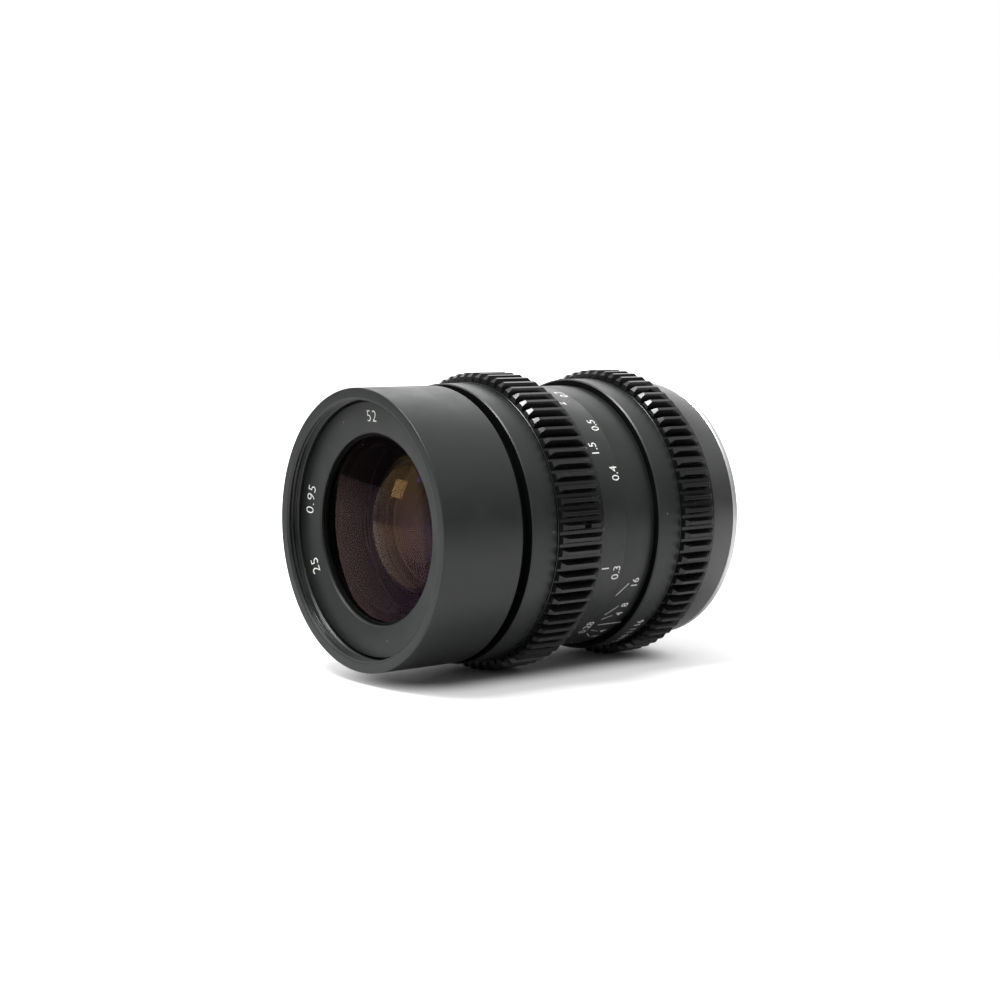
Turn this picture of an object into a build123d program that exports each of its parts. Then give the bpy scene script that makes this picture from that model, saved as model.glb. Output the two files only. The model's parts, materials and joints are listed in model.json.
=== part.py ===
from build123d import *
from collections import namedtuple
from math import acos, atan2, cos, degrees, pi, radians, sin, sqrt, tan
import os

os.makedirs("parts", exist_ok=True)

# Cinema prime lens, in millimetres
# The optical axis is the Y axis. The camera's flange face is at y = 0, the bayonet
# points to +Y and the front of the lens to -Y. A station is a distance in front of
# the flange face, so the station s lies at y = -s. +Z is up, as the lens lies.

# Fits and small clearances
running_fit = 0.06
seat_fit = 0.03
seam = 0.1
overrun = 1.0
edge_break = 0.2

# Camera mount: three-lug bayonet for a 38 mm throat
flange_thickness = 1.2
flange_lip = 0.1
register_step = 1.9
register_height = 1.3
bayonet_radius = 18.9
bayonet_wall = 1.5
bayonet_height = 5.0
lug_reach = 1.7
lug_thickness = 1.3
lug_start = 3.0
lug_count = 3
lug_angle = 52
lug_turn = 20
lock_hole_radius = 1.1
lock_hole_angle = 205
lock_hole_depth = 0.9

# Mount screws
screw_count = 4
screw_turn = 45
screw_radius = 0.95
screw_hole_radius = 1.0
screw_head_radius = 1.8
screw_head_angle = 90
screw_grip = 2.0
screw_slot_width = 0.4
screw_slot_depth = 0.45

# Rear baffle inside the bayonet
baffle_lip = 2.8
baffle_thickness = 1.0
baffle_skirt = 2.4
baffle_wall = 0.8

# Fixed tube that every ring runs on
tube_bore = 22.65
tube_wall = 1.55

# Rear barrel
rear_barrel_wall = 3.17
rear_barrel_length = 6.4
rear_web_thickness = 2.3
rear_web_step = 1.1
rear_barrel_chamfer = 0.3

# Gear rings, shared tooth form
gear_module = 0.8
gear_teeth = 74
gear_pressure_angle = 20
gear_dedendum_ratio = 1.25
gear_front_bevel = 0.95
gear_front_bevel_height = 0.8
gear_rear_bevel = 1.75
gear_rear_bevel_height = 1.4
gear_web = 1.15
gear_hub_land = 0.25
gear_hub_step = 0.15
grub_radius = 0.8
grub_clearance = 0.05
grub_socket_radius = 0.38
grub_socket_depth = 0.5
grub_sink = 0.12
grub_count = 3
grub_socket_sides = 6
lowest_gap_angle = -90
focus_screw_gap = 19
aperture_screw_gap = 31

# Aperture ring
aperture_collar_wall = 4.34
aperture_collar_length = 6.0
aperture_gear_length = 9.7
aperture_throw = 76
ring_chamfer = 0.25

# Fixed scale ring
scale_wall = 2.99
scale_ring_length = 7.4

# Focus ring
focus_tail_length = 7.0
focus_gear_length = 11.9
focus_collar_wall = 4.09
focus_collar_length = 6.25
focus_throw = 180
focus_shim_thickness = 0.3

# Cam drive of the focus
focus_travel = 2.75
cam_pin_radius = 0.6
cam_roller_radius = 1.0
cam_groove_depth = 1.9
cam_pin_count = 2
cam_turn = 20
cam_station_share = 0.728

# Groove between the focus ring and the front barrel
front_groove = 1.75
groove_floor_wall = 1.97

# Front barrel with its filter thread
front_barrel_wall = 2.4
front_barrel_length = 19.15
front_edge_rounding = 0.9
front_rim_chamfer = 0.35
filter_bore = 25.6
filter_rim_chamfer = 0.4
filter_depth = 4.45
barrel_web_length = 7.5
barrel_waist_bore = 24.7

# Name ring
name_ring_hole = 18.96
name_ring_recess = 3.0
name_ring_drop = 0.75
name_ring_thickness = 0.8
name_ring_lip = 0.35
name_ring_lip_drop = 0.3
name_ring_ledge = 0.4

# Moving optics barrel
optics_barrel_wall = 1.4
cell_fit = 0.05
optics_web_thickness = 1.5
optics_web_margin = 0.6
cell_front_step = 1.1

# Glass, given from the front: thickness, curves, rim radius and clear radius
front_glass_gap = 0.47
glass_1_thickness = 2.4
glass_1_front_curve = 180.0
glass_1_rear_curve = 33.0
glass_1_rim = 19.2
glass_1_clear = 17.0
gap_1_2 = 7.23
glass_2_thickness = 4.4
glass_2_front_curve = 85.0
glass_2_rear_curve = -120.0
glass_2_rim = 16.5
gap_2_3 = 0.4
glass_3_thickness = 3.25
glass_3_front_curve = 45.0
glass_3_rear_curve = 150.0
glass_3_rim = 15.5
gap_3_4 = 0.5
glass_4_thickness = 2.0
glass_4_front_curve = 85.0
glass_4_rear_curve = 17.0
glass_4_rim = 14.5
glass_4_clear = 12.0
gap_iris_5 = 4.6
glass_5_thickness = 1.6
glass_5_front_curve = -26.0
glass_5_rear_curve = 40.0
doublet_rim = 12.0
cement = 0.03
glass_6_thickness = 6.5
glass_6_rear_curve = -30.0
gap_6_7 = 0.5
glass_7_thickness = 5.5
glass_7_front_curve = 60.0
glass_7_rear_curve = -40.0
glass_7_rim = 12.6
gap_7_8 = 0.5
glass_8_thickness = 4.2
glass_8_front_curve = 32.0
glass_8_rear_curve = 150.0
glass_8_rim = 13.1
gap_8_9 = 2.4
glass_9_thickness = 1.6
glass_9_front_curve = -60.0
glass_9_rear_curve = 40.0
glass_9_rim = 13.6

# Cells, spacers and retaining rings
glass_fit = 0.05
glass_seat = 0.8
retainer_thread_step = 0.7
retainer_height = 0.55
cell_lip_thickness = 1.2
rear_cell_wall = 2.2
rear_cell_flange = 1.6
rear_cell_tail = 1.2

# Iris
blade_count = 10
blade_thickness = 0.08
blade_level_gap = 0.06
blade_width = 5.2
blade_pivot_margin = 1.9
first_driven_level = 6
blade_pin_radius = 0.5
blade_ear_radius = 1.3
blade_swing = 32.5
drive_pin_angle = 140
drive_pin_inset = 3.0
iris_opening_lip = 0.2
iris_base_thickness = 1.2
iris_web_gap = 2.4
iris_stack_gap = 0.2
iris_wall_width = 1.14
iris_wall_gap = 1.2
cam_ring_thickness = 1.2
cam_ring_lip = 0.1
drive_slot_relief = 0.2
drive_slot_length = 1.4
drive_slot_width = 1.6
drive_slot_lead = 0.3

# Fork and pin that join the aperture ring to the iris
fork_margin = 0.34
fork_thickness = 1.4
fork_tine = 1.6
fork_turn = 75
aperture_pin_radius = 1.0
fork_end_margin = 2.0

Glass = namedtuple("Glass", "front rear front_curve rear_curve rim clear")


def at(radius, station):
    """A point of a turned profile, from its radius and its station."""
    return (radius, -station)


def sag(curve, height):
    """How far a lens surface falls behind its vertex at a height off the axis."""
    depth = abs(curve) - sqrt(curve * curve - height * height)
    return depth if curve > 0 else -depth


def front_edge(glass, height):
    """The station of a lens's front surface at a height off the axis."""
    return glass.front - sag(glass.front_curve, height)


def rear_edge(glass, height):
    """The station of a lens's rear surface at a height off the axis."""
    return glass.rear - sag(glass.rear_curve, height)


def finish(name, part):
    """Label a finished piece and write it."""
    part.label = name
    export_step(part, f"parts/{name}.step")


def turned(points):
    """A closed solid turned about the optical axis from a profile's corners."""
    with BuildPart() as piece:
        with BuildSketch(Plane.XY):
            with BuildLine():
                Polyline(*points, close=True)
            make_face()
        revolve(axis=Axis.Y)
    return piece.part


def sleeve(inner, outer, rear, front):
    """A plain ring between two radii and two stations."""
    return turned([at(inner, rear), at(outer, rear), at(outer, front), at(inner, front)])


def arc_band(inner, outer, start, sweep):
    """A sector of a flat ring."""
    with BuildSketch(mode=Mode.PRIVATE) as band:
        with BuildLine():
            outside = CenterArc((0, 0), outer, start, sweep)
            inside = CenterArc((0, 0), inner, start, sweep)
            Line(outside @ 0, inside @ 0)
            Line(outside @ 1, inside @ 1)
        make_face()
    return band.sketch


def station_plane(station):
    """The plane across the axis at a station, facing the front."""
    return Plane.XZ.offset(station)


rear_plane = Plane(origin=(0, 0, 0), x_dir=(1, 0, 0), z_dir=(0, 1, 0))


def radial_plane(station, angle, radius):
    """A plane square to a radius, at a station, facing outwards."""
    outwards = Vector(cos(radians(angle)), 0, sin(radians(angle)))
    return Plane(origin=outwards * radius + Vector(0, -station, 0), x_dir=(0, -1, 0), z_dir=outwards)


def lens(name, glass):
    """One glass element, turned from its two spherical surfaces and its rim."""
    half = glass.rim / 2
    rear_half = glass.clear / 2
    with BuildPart() as piece:
        with BuildSketch(Plane.XY):
            with BuildLine():
                front_corner = at(glass.rim, front_edge(glass, glass.rim))
                rear_corner = at(glass.rim, rear_edge(glass, glass.clear))
                rear_inner = at(glass.clear, rear_edge(glass, glass.clear))
                ThreePointArc(at(0, glass.front), at(half, front_edge(glass, half)), front_corner)
                Line(front_corner, rear_corner)
                if glass.clear < glass.rim:
                    Line(rear_corner, rear_inner)
                ThreePointArc(rear_inner, at(rear_half, rear_edge(glass, rear_half)), at(0, glass.rear))
                Line(at(0, glass.rear), at(0, glass.front))
            make_face()
        revolve(axis=Axis.Y)
    finish(name, piece.part)


# Stations along the axis, from the flange face to the front rim
rear_barrel_front = flange_thickness + rear_barrel_length
aperture_gear_rear = rear_barrel_front + seam
aperture_gear_front = aperture_gear_rear + aperture_gear_length
aperture_ring_front = aperture_gear_front + aperture_collar_length
scale_ring_rear = aperture_ring_front + seam
scale_ring_front = scale_ring_rear + scale_ring_length
focus_ring_rear = scale_ring_front + seam
focus_gear_rear = focus_ring_rear + focus_tail_length
focus_gear_front = focus_gear_rear + focus_gear_length
focus_ring_front = focus_gear_front + focus_collar_length
front_barrel_rear = focus_ring_front + front_groove
front_rim = front_barrel_rear + front_barrel_length
tube_rear = flange_thickness + rear_web_thickness + seam
tube_front = front_barrel_rear + barrel_web_length
name_ring_face = front_rim - name_ring_recess
name_ring_inner_face = name_ring_face - name_ring_drop

# Radii of the bayonet and of what stands round it
bayonet_bore = bayonet_radius - bayonet_wall
lug_radius = bayonet_radius + lug_reach
register_radius = bayonet_radius + register_step
rear_web_bore = bayonet_radius + rear_web_step
baffle_opening = bayonet_bore - baffle_lip

# Radii of the fixed tube, of what stands on it and of what runs on it
tube_radius = tube_bore + tube_wall
fixed_bore = tube_radius + seat_fit
rear_barrel_radius = fixed_bore + rear_barrel_wall
flange_radius = rear_barrel_radius + flange_lip
screw_circle_radius = (register_radius + flange_radius) / 2
groove_floor_radius = fixed_bore + groove_floor_wall
front_barrel_radius = filter_bore + front_barrel_wall
ring_bore = tube_radius + running_fit
scale_radius = ring_bore + scale_wall
aperture_collar_radius = ring_bore + aperture_collar_wall
focus_collar_radius = ring_bore + focus_collar_wall

# Radii of the gear rings
pitch_radius = gear_module * gear_teeth / 2
tip_radius = pitch_radius + gear_module
root_radius = pitch_radius - gear_module * gear_dedendum_ratio
hub_radius = root_radius - gear_hub_step
gear_seat_radius = root_radius - gear_web
gear_bore = gear_seat_radius + seat_fit
tooth_pitch = 360 / gear_teeth

# Radii inside the tube, down to the iris
optics_radius = tube_bore - running_fit
cell_bore = optics_radius - optics_barrel_wall
cell_radius = cell_bore - cell_fit
fork_outer = cell_radius - fork_margin
fork_inner = fork_outer - fork_thickness
iris_wall_radius = cell_radius - iris_wall_width
blade_pivot_radius = iris_wall_radius - iris_wall_gap - blade_ear_radius
blade_outer_radius = blade_pivot_radius - blade_pivot_margin
blade_inner_radius = blade_outer_radius - blade_width
iris_opening = blade_inner_radius - iris_opening_lip
cam_ring_bore = blade_inner_radius - cam_ring_lip
drive_circle_radius = blade_inner_radius + drive_pin_inset
drive_slot_outer = drive_circle_radius - drive_slot_relief
drive_slot_inner = drive_slot_outer - drive_slot_length

# Front group, chained from the name ring
glass_1_front = name_ring_inner_face - front_glass_gap
glass_1 = Glass(
    glass_1_front, glass_1_front - glass_1_thickness, glass_1_front_curve, glass_1_rear_curve,
    glass_1_rim, glass_1_clear,
)
glass_2_front = glass_1.rear - gap_1_2
glass_2 = Glass(
    glass_2_front, glass_2_front - glass_2_thickness, glass_2_front_curve, glass_2_rear_curve,
    glass_2_rim, glass_2_rim,
)
glass_3_front = glass_2.rear - gap_2_3
glass_3 = Glass(
    glass_3_front, glass_3_front - glass_3_thickness, glass_3_front_curve, glass_3_rear_curve,
    glass_3_rim, glass_3_rim,
)
glass_4_front = glass_3.rear - gap_3_4
glass_4 = Glass(
    glass_4_front, glass_4_front - glass_4_thickness, glass_4_front_curve, glass_4_rear_curve,
    glass_4_rim, glass_4_clear,
)
glass_4_seat = rear_edge(glass_4, glass_4.clear)
front_cell_rear = glass_4_seat - cell_lip_thickness
front_cell_front = front_edge(glass_1, glass_1.rim) + retainer_height + seat_fit

# Iris, between the two groups
iris_base_front = front_cell_rear - iris_web_gap - optics_web_thickness
iris_base_rear = iris_base_front - iris_base_thickness
blade_level = blade_thickness + blade_level_gap
blade_stack = blade_count * blade_level + iris_stack_gap
cam_ring_front = iris_base_rear - blade_stack
cam_ring_rear = cam_ring_front - cam_ring_thickness
rear_cell_front = cam_ring_rear - seam
rear_cell_flange_rear = rear_cell_front - rear_cell_flange

# Rear group, chained from the rear cell
glass_5_front = rear_cell_front - gap_iris_5
glass_5 = Glass(
    glass_5_front, glass_5_front - glass_5_thickness, glass_5_front_curve, glass_5_rear_curve,
    doublet_rim, doublet_rim,
)
glass_6_front = glass_5.rear - cement
glass_6 = Glass(
    glass_6_front, glass_6_front - glass_6_thickness, glass_5_rear_curve, glass_6_rear_curve,
    doublet_rim, doublet_rim,
)
glass_7_front = glass_6.rear - gap_6_7
glass_7 = Glass(
    glass_7_front, glass_7_front - glass_7_thickness, glass_7_front_curve, glass_7_rear_curve,
    glass_7_rim, glass_7_rim,
)
glass_8_front = glass_7.rear - gap_7_8
glass_8 = Glass(
    glass_8_front, glass_8_front - glass_8_thickness, glass_8_front_curve, glass_8_rear_curve,
    glass_8_rim, glass_8_rim,
)
glass_9_front = glass_8.rear - gap_8_9
glass_9 = Glass(
    glass_9_front, glass_9_front - glass_9_thickness, glass_9_front_curve, glass_9_rear_curve,
    glass_9_rim, glass_9_rim,
)
rear_retainer_front = rear_edge(glass_9, glass_9.rim) - seat_fit
rear_cell_rear = rear_retainer_front - rear_cell_tail

# Angles of the drives
cam_station = focus_gear_rear + focus_gear_length * cam_station_share
cam_lead = focus_travel * 360 / focus_throw
aperture_pin_station = (aperture_gear_rear + aperture_gear_front) / 2

# Mount flange with its bayonet lugs
with BuildPart() as mount_flange:
    with BuildSketch(Plane.XY):
        with BuildLine():
            Polyline(
                at(bayonet_bore, flange_thickness), at(flange_radius - edge_break, flange_thickness),
                at(flange_radius, flange_thickness - edge_break), at(flange_radius, edge_break),
                at(flange_radius - edge_break, 0), at(register_radius, 0),
                at(register_radius, -register_height), at(bayonet_radius, -register_height),
                at(bayonet_radius, -bayonet_height), at(bayonet_bore, -bayonet_height), close=True
            )
        make_face()
    revolve(axis=Axis.Y)
    with BuildSketch(station_plane(-lug_start - lug_thickness)):
        for lug in range(lug_count):
            add(arc_band(
                (bayonet_bore + bayonet_radius) / 2, lug_radius,
                lug_turn + lug * 360 / lug_count - lug_angle / 2, lug_angle
            ))
    extrude(amount=lug_thickness)
    with Locations(rear_plane):
        with PolarLocations(screw_circle_radius, screw_count, start_angle=screw_turn):
            sink_radius = screw_head_radius + seat_fit
            CounterSinkHole(screw_hole_radius, sink_radius, counter_sink_angle=screw_head_angle)
        with PolarLocations(screw_circle_radius, 1, start_angle=lock_hole_angle):
            Hole(lock_hole_radius, depth=lock_hole_depth)
finish("mount_flange", mount_flange.part)

# Countersunk screws that hold the flange
with BuildPart() as mount_screws:
    screw_head_height = screw_head_radius - screw_radius
    below = (Align.CENTER, Align.CENTER, Align.MAX)
    with Locations(rear_plane):
        with PolarLocations(screw_circle_radius, screw_count, start_angle=screw_turn):
            Cone(screw_radius, screw_head_radius, screw_head_height, align=below)
            Cylinder(screw_radius, flange_thickness + screw_grip, align=below)
            Box(screw_head_radius, screw_slot_width, screw_slot_depth, align=below, mode=Mode.SUBTRACT)
            Box(screw_slot_width, screw_head_radius, screw_slot_depth, align=below, mode=Mode.SUBTRACT)
finish("mount_screws", mount_screws.part)

# Blackened baffle that frames the rear glass
baffle_radius = bayonet_bore - seat_fit
finish("rear_baffle", turned([
    at(baffle_opening, baffle_thickness - bayonet_height), at(baffle_opening, -bayonet_height),
    at(baffle_radius, -bayonet_height), at(baffle_radius, baffle_skirt - bayonet_height),
    at(baffle_radius - baffle_wall, baffle_skirt - bayonet_height),
    at(baffle_radius - baffle_wall, baffle_thickness - bayonet_height),
]))

# Rear barrel with the web that the flange is screwed to
with BuildPart() as rear_barrel:
    with BuildSketch(Plane.XY):
        with BuildLine():
            web_front = flange_thickness + rear_web_thickness
            Polyline(
                at(rear_web_bore, flange_thickness),
                at(rear_barrel_radius - rear_barrel_chamfer, flange_thickness),
                at(rear_barrel_radius, flange_thickness + rear_barrel_chamfer),
                at(rear_barrel_radius, rear_barrel_front - edge_break),
                at(rear_barrel_radius - edge_break, rear_barrel_front),
                at(fixed_bore, rear_barrel_front), at(fixed_bore, web_front),
                at(rear_web_bore, web_front), close=True
            )
        make_face()
    revolve(axis=Axis.Y)
    with Locations(rear_plane):
        with PolarLocations(screw_circle_radius, screw_count, start_angle=screw_turn):
            Hole(screw_hole_radius, depth=flange_thickness + screw_grip + seam)
finish("rear_barrel", rear_barrel.part)

# Fixed tube: straight guide slots for the focus, a slot round it for the aperture pin
with BuildPart() as fixed_tube:
    with BuildSketch(station_plane(tube_rear)):
        Circle(tube_radius)
        Circle(tube_bore, mode=Mode.SUBTRACT)
    extrude(amount=tube_front - tube_rear)
    chamfer(fixed_tube.edges().filter_by(GeomType.CIRCLE).sort_by(Axis.Y)[-1], length=edge_break)
    guide_width = 2 * (cam_roller_radius + running_fit)
    guide_length = focus_travel + guide_width + 2 * seam
    for pin in range(cam_pin_count):
        turn = cam_turn + pin * 360 / cam_pin_count
        with BuildSketch(radial_plane(cam_station - focus_travel / 2, turn, tube_bore - overrun)):
            SlotOverall(guide_length, guide_width)
        extrude(amount=tube_wall + 2 * overrun, mode=Mode.SUBTRACT)
    pin_slot = aperture_pin_radius + running_fit
    slot_margin = degrees(pin_slot / tube_bore)
    with BuildSketch(station_plane(aperture_pin_station - pin_slot)):
        add(arc_band(
            tube_bore - overrun, tube_radius + overrun, fork_turn - slot_margin,
            aperture_throw + 2 * slot_margin
        ))
    extrude(amount=2 * pin_slot, mode=Mode.SUBTRACT)
finish("fixed_tube", fixed_tube.part)


def gear_half_angle(radius):
    """Half the angle that an involute tooth fills at a radius, in degrees."""
    base_radius = pitch_radius * cos(radians(gear_pressure_angle))
    pitch_involute = tan(radians(gear_pressure_angle)) - radians(gear_pressure_angle)
    here = acos(base_radius / radius)
    return degrees(pi / 2 / gear_teeth + pitch_involute - (tan(here) - here))


def polar(radius, angle):
    """A flat point from its radius and its angle in degrees."""
    return (radius * cos(radians(angle)), radius * sin(radians(angle)))


# One involute tooth, pointing along the sketch's own x
root_half = gear_half_angle(root_radius)
pitch_half = gear_half_angle(pitch_radius)
tip_half = gear_half_angle(tip_radius)
with BuildSketch() as tooth:
    with BuildLine():
        lower = ThreePointArc(
            polar(root_radius, -root_half), polar(pitch_radius, -pitch_half), polar(tip_radius, -tip_half)
        )
        upper = ThreePointArc(
            polar(root_radius, root_half), polar(pitch_radius, pitch_half), polar(tip_radius, tip_half)
        )
        Line(lower @ 1, upper @ 1)
        Polyline(lower @ 0, polar(hub_radius, -root_half), polar(hub_radius, root_half), upper @ 0)
    make_face()


def gear_ring(name, rear, front, screw_angle):
    """A toothed ring with bevelled tooth ends, its hub lands and its grub screw holes."""
    first_tooth = lowest_gap_angle + tooth_pitch / 2
    screw_station = (rear + front) / 2
    with BuildPart() as gear:
        with BuildSketch(station_plane(rear)):
            Circle(root_radius)
            with PolarLocations(0, gear_teeth, start_angle=first_tooth):
                add(tooth.sketch)
            Circle(gear_bore, mode=Mode.SUBTRACT)
        extrude(amount=front - rear)
        rear_end = (rear, 1, gear_rear_bevel, gear_rear_bevel_height)
        front_end = (front, -1, gear_front_bevel, gear_front_bevel_height)
        for face, inwards, bevel, height in (rear_end, front_end):
            land = face + inwards * gear_hub_land
            with BuildSketch(Plane.XY):
                with BuildLine():
                    Polyline(
                        at(hub_radius, face - inwards * overrun), at(hub_radius, land),
                        at(tip_radius - height, land), at(tip_radius, land + inwards * bevel),
                        at(tip_radius + overrun, land + inwards * bevel),
                        at(tip_radius + overrun, face - inwards * overrun), close=True
                    )
                make_face()
            revolve(axis=Axis.Y, mode=Mode.SUBTRACT)
        for screw in range(grub_count):
            turn = screw_angle + round(screw * gear_teeth / grub_count) * tooth_pitch
            with BuildSketch(radial_plane(screw_station, turn, gear_bore - overrun)):
                Circle(grub_radius + grub_clearance)
            extrude(amount=tip_radius - gear_bore + 2 * overrun, mode=Mode.SUBTRACT)
    finish(name, gear.part)


def gear_screws(name, rear, front, screw_angle):
    """Grub screws that hold a gear ring, sunk between two teeth."""
    with BuildPart() as screws:
        for screw in range(grub_count):
            turn = screw_angle + round(screw * gear_teeth / grub_count) * tooth_pitch
            head = root_radius - grub_sink
            with BuildSketch(radial_plane((rear + front) / 2, turn, gear_seat_radius + seat_fit)):
                Circle(grub_radius)
            extrude(amount=head - gear_seat_radius - seat_fit)
            with BuildSketch(radial_plane((rear + front) / 2, turn, head - grub_socket_depth)):
                RegularPolygon(grub_socket_radius, grub_socket_sides)
            extrude(amount=grub_socket_depth, mode=Mode.SUBTRACT)
    finish(name, screws.part)


# Grub screws sit in tooth gaps, found by counting gaps from the lowest one
focus_screw_angle = lowest_gap_angle + focus_screw_gap * tooth_pitch
aperture_screw_angle = lowest_gap_angle + aperture_screw_gap * tooth_pitch

# Aperture ring, its gear, screws and drive pin
with BuildPart() as aperture_ring:
    with BuildSketch(Plane.XY):
        with BuildLine():
            Polyline(
                at(ring_bore, aperture_gear_rear), at(gear_seat_radius, aperture_gear_rear),
                at(gear_seat_radius, aperture_gear_front),
                at(aperture_collar_radius - edge_break, aperture_gear_front),
                at(aperture_collar_radius, aperture_gear_front + edge_break),
                at(aperture_collar_radius, aperture_ring_front - ring_chamfer),
                at(aperture_collar_radius - ring_chamfer, aperture_ring_front),
                at(ring_bore, aperture_ring_front), close=True
            )
        make_face()
    revolve(axis=Axis.Y)
    with BuildSketch(radial_plane(aperture_pin_station, fork_turn, tube_radius - overrun)):
        Circle(aperture_pin_radius + seat_fit)
    extrude(amount=gear_seat_radius - tube_radius + 2 * overrun, mode=Mode.SUBTRACT)
finish("aperture_ring", aperture_ring.part)
gear_ring("aperture_gear", aperture_gear_rear, aperture_gear_front - seat_fit, aperture_screw_angle)
gear_screws("aperture_gear_screws", aperture_gear_rear, aperture_gear_front - seat_fit, aperture_screw_angle)

with BuildPart() as aperture_pin:
    pin_outer = gear_seat_radius - edge_break
    with BuildSketch(radial_plane(aperture_pin_station, fork_turn, fork_inner)):
        Circle(aperture_pin_radius)
    extrude(amount=pin_outer - fork_inner)
finish("aperture_pin", aperture_pin.part)

# Fixed ring with the depth-of-field scale
with BuildPart() as scale_ring:
    with BuildSketch(station_plane(scale_ring_rear)):
        Circle(scale_radius)
        Circle(fixed_bore, mode=Mode.SUBTRACT)
    extrude(amount=scale_ring_length)
finish("scale_ring", scale_ring.part)

# Helical groove cutter for the focus cam
cam_groove_radius = ring_bore + cam_groove_depth
cam_start = degrees((cam_roller_radius + running_fit) / cam_groove_radius)
cam_sweep = focus_throw + 2 * cam_start
cam_drop = cam_lead * cam_start / 360
with BuildPart() as cam_cutter:
    with BuildLine() as cam_path:
        Helix(
            pitch=cam_lead, height=cam_lead * cam_sweep / 360, radius=(ring_bore + cam_groove_radius) / 2,
            center=(0, -cam_station - cam_drop, 0), direction=(0, 1, 0), lefthand=True
        )
    path_start = cam_path.line @ 0
    path_angle = degrees(atan2(path_start.Z, path_start.X))
    start_plane = Plane(origin=path_start, x_dir=(path_start.X, 0, path_start.Z), z_dir=cam_path.line % 0)
    with BuildSketch(start_plane):
        Rectangle(cam_groove_depth + 2 * running_fit, 2 * (cam_roller_radius + running_fit))
    sweep(is_frenet=True)

# Focus ring: tail with the distance scale, gear seat, collar and two cam grooves inside
with BuildPart() as focus_ring:
    with BuildSketch(Plane.XY):
        with BuildLine():
            Polyline(
                at(ring_bore, focus_ring_rear), at(scale_radius, focus_ring_rear),
                at(scale_radius, focus_gear_rear), at(gear_seat_radius, focus_gear_rear),
                at(gear_seat_radius, focus_gear_front),
                at(focus_collar_radius - edge_break, focus_gear_front),
                at(focus_collar_radius, focus_gear_front + edge_break),
                at(focus_collar_radius, focus_ring_front - ring_chamfer),
                at(focus_collar_radius - ring_chamfer, focus_ring_front),
                at(ring_bore, focus_ring_front), close=True
            )
        make_face()
    revolve(axis=Axis.Y)
    for pin in range(cam_pin_count):
        groove_start = cam_turn + pin * 360 / cam_pin_count - cam_start
        add(cam_cutter.part, rotation=(0, path_angle - groove_start, 0), mode=Mode.SUBTRACT)
finish("focus_ring", focus_ring.part)
gear_ring("focus_gear", focus_gear_rear, focus_gear_front - seat_fit, focus_screw_angle)
gear_screws("focus_gear_screws", focus_gear_rear, focus_gear_front - seat_fit, focus_screw_angle)

# Shim and retaining ring that keep the focus ring on the tube
shim_rear = focus_ring_front + running_fit
shim_front = shim_rear + focus_shim_thickness
finish("focus_shim", sleeve(fixed_bore, groove_floor_radius, shim_rear, shim_front))
finish("focus_retaining_ring", sleeve(
    fixed_bore, groove_floor_radius, shim_front + seat_fit, front_barrel_rear - seat_fit
))

# Front barrel: rounded rear edge, web on the tube, waist and filter bore
name_ring_seat = front_rim - filter_depth
name_ring_bore = filter_bore - name_ring_ledge
with BuildPart() as front_barrel:
    with BuildSketch(Plane.XY):
        with BuildLine():
            Polyline(
                at(fixed_bore, front_barrel_rear), at(front_barrel_radius, front_barrel_rear),
                at(front_barrel_radius, front_rim - front_rim_chamfer),
                at(front_barrel_radius - front_rim_chamfer, front_rim),
                at(filter_bore + filter_rim_chamfer, front_rim),
                at(filter_bore, front_rim - filter_rim_chamfer),
                at(filter_bore, name_ring_face + seat_fit), at(name_ring_bore, name_ring_face + seat_fit),
                at(name_ring_bore, name_ring_seat),
                at(barrel_waist_bore, name_ring_seat), at(barrel_waist_bore, tube_front + seam),
                at(fixed_bore, tube_front + seam), close=True
            )
        make_face()
    revolve(axis=Axis.Y)
    rear_edges = front_barrel.edges().filter_by(GeomType.CIRCLE).group_by(Axis.Y)[-1]
    fillet(rear_edges.sort_by(SortBy.RADIUS)[-1], radius=front_edge_rounding)
finish("front_barrel", front_barrel.part)

# Name ring: a shallow cone down to the front glass
name_ring_radius = name_ring_bore - seat_fit
name_ring_spigot = barrel_waist_bore - seat_fit
finish("name_ring", turned([
    at(name_ring_radius, name_ring_seat + seat_fit), at(name_ring_radius, name_ring_face),
    at(name_ring_hole + name_ring_lip, name_ring_inner_face),
    at(name_ring_hole, name_ring_inner_face - name_ring_lip_drop),
    at(name_ring_hole, name_ring_inner_face - name_ring_thickness),
    at(name_ring_spigot, name_ring_inner_face - name_ring_thickness),
    at(name_ring_spigot, name_ring_seat + seat_fit),
]))

# Optics barrel: slides in the tube and carries both glass groups and the iris
optics_barrel_front = front_cell_front - cell_front_step
optics_web_bore = glass_4_clear + optics_web_margin
with BuildPart() as optics_barrel:
    with BuildSketch(Plane.XY):
        with BuildLine():
            web_front = iris_base_front + seat_fit + optics_web_thickness
            Polyline(
                at(cell_bore, rear_cell_flange_rear), at(optics_radius, rear_cell_flange_rear),
                at(optics_radius, optics_barrel_front), at(cell_bore, optics_barrel_front),
                at(cell_bore, web_front), at(optics_web_bore, web_front),
                at(optics_web_bore, iris_base_front + seat_fit), at(cell_bore, iris_base_front + seat_fit),
                close=True
            )
        make_face()
    revolve(axis=Axis.Y)
    for pin in range(cam_pin_count):
        turn = cam_turn + pin * 360 / cam_pin_count
        with BuildSketch(radial_plane(cam_station, turn, cell_bore - edge_break)):
            Circle(cam_pin_radius + seat_fit)
        extrude(amount=optics_barrel_wall + 2 * edge_break, mode=Mode.SUBTRACT)
finish("optics_barrel", optics_barrel.part)

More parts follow.
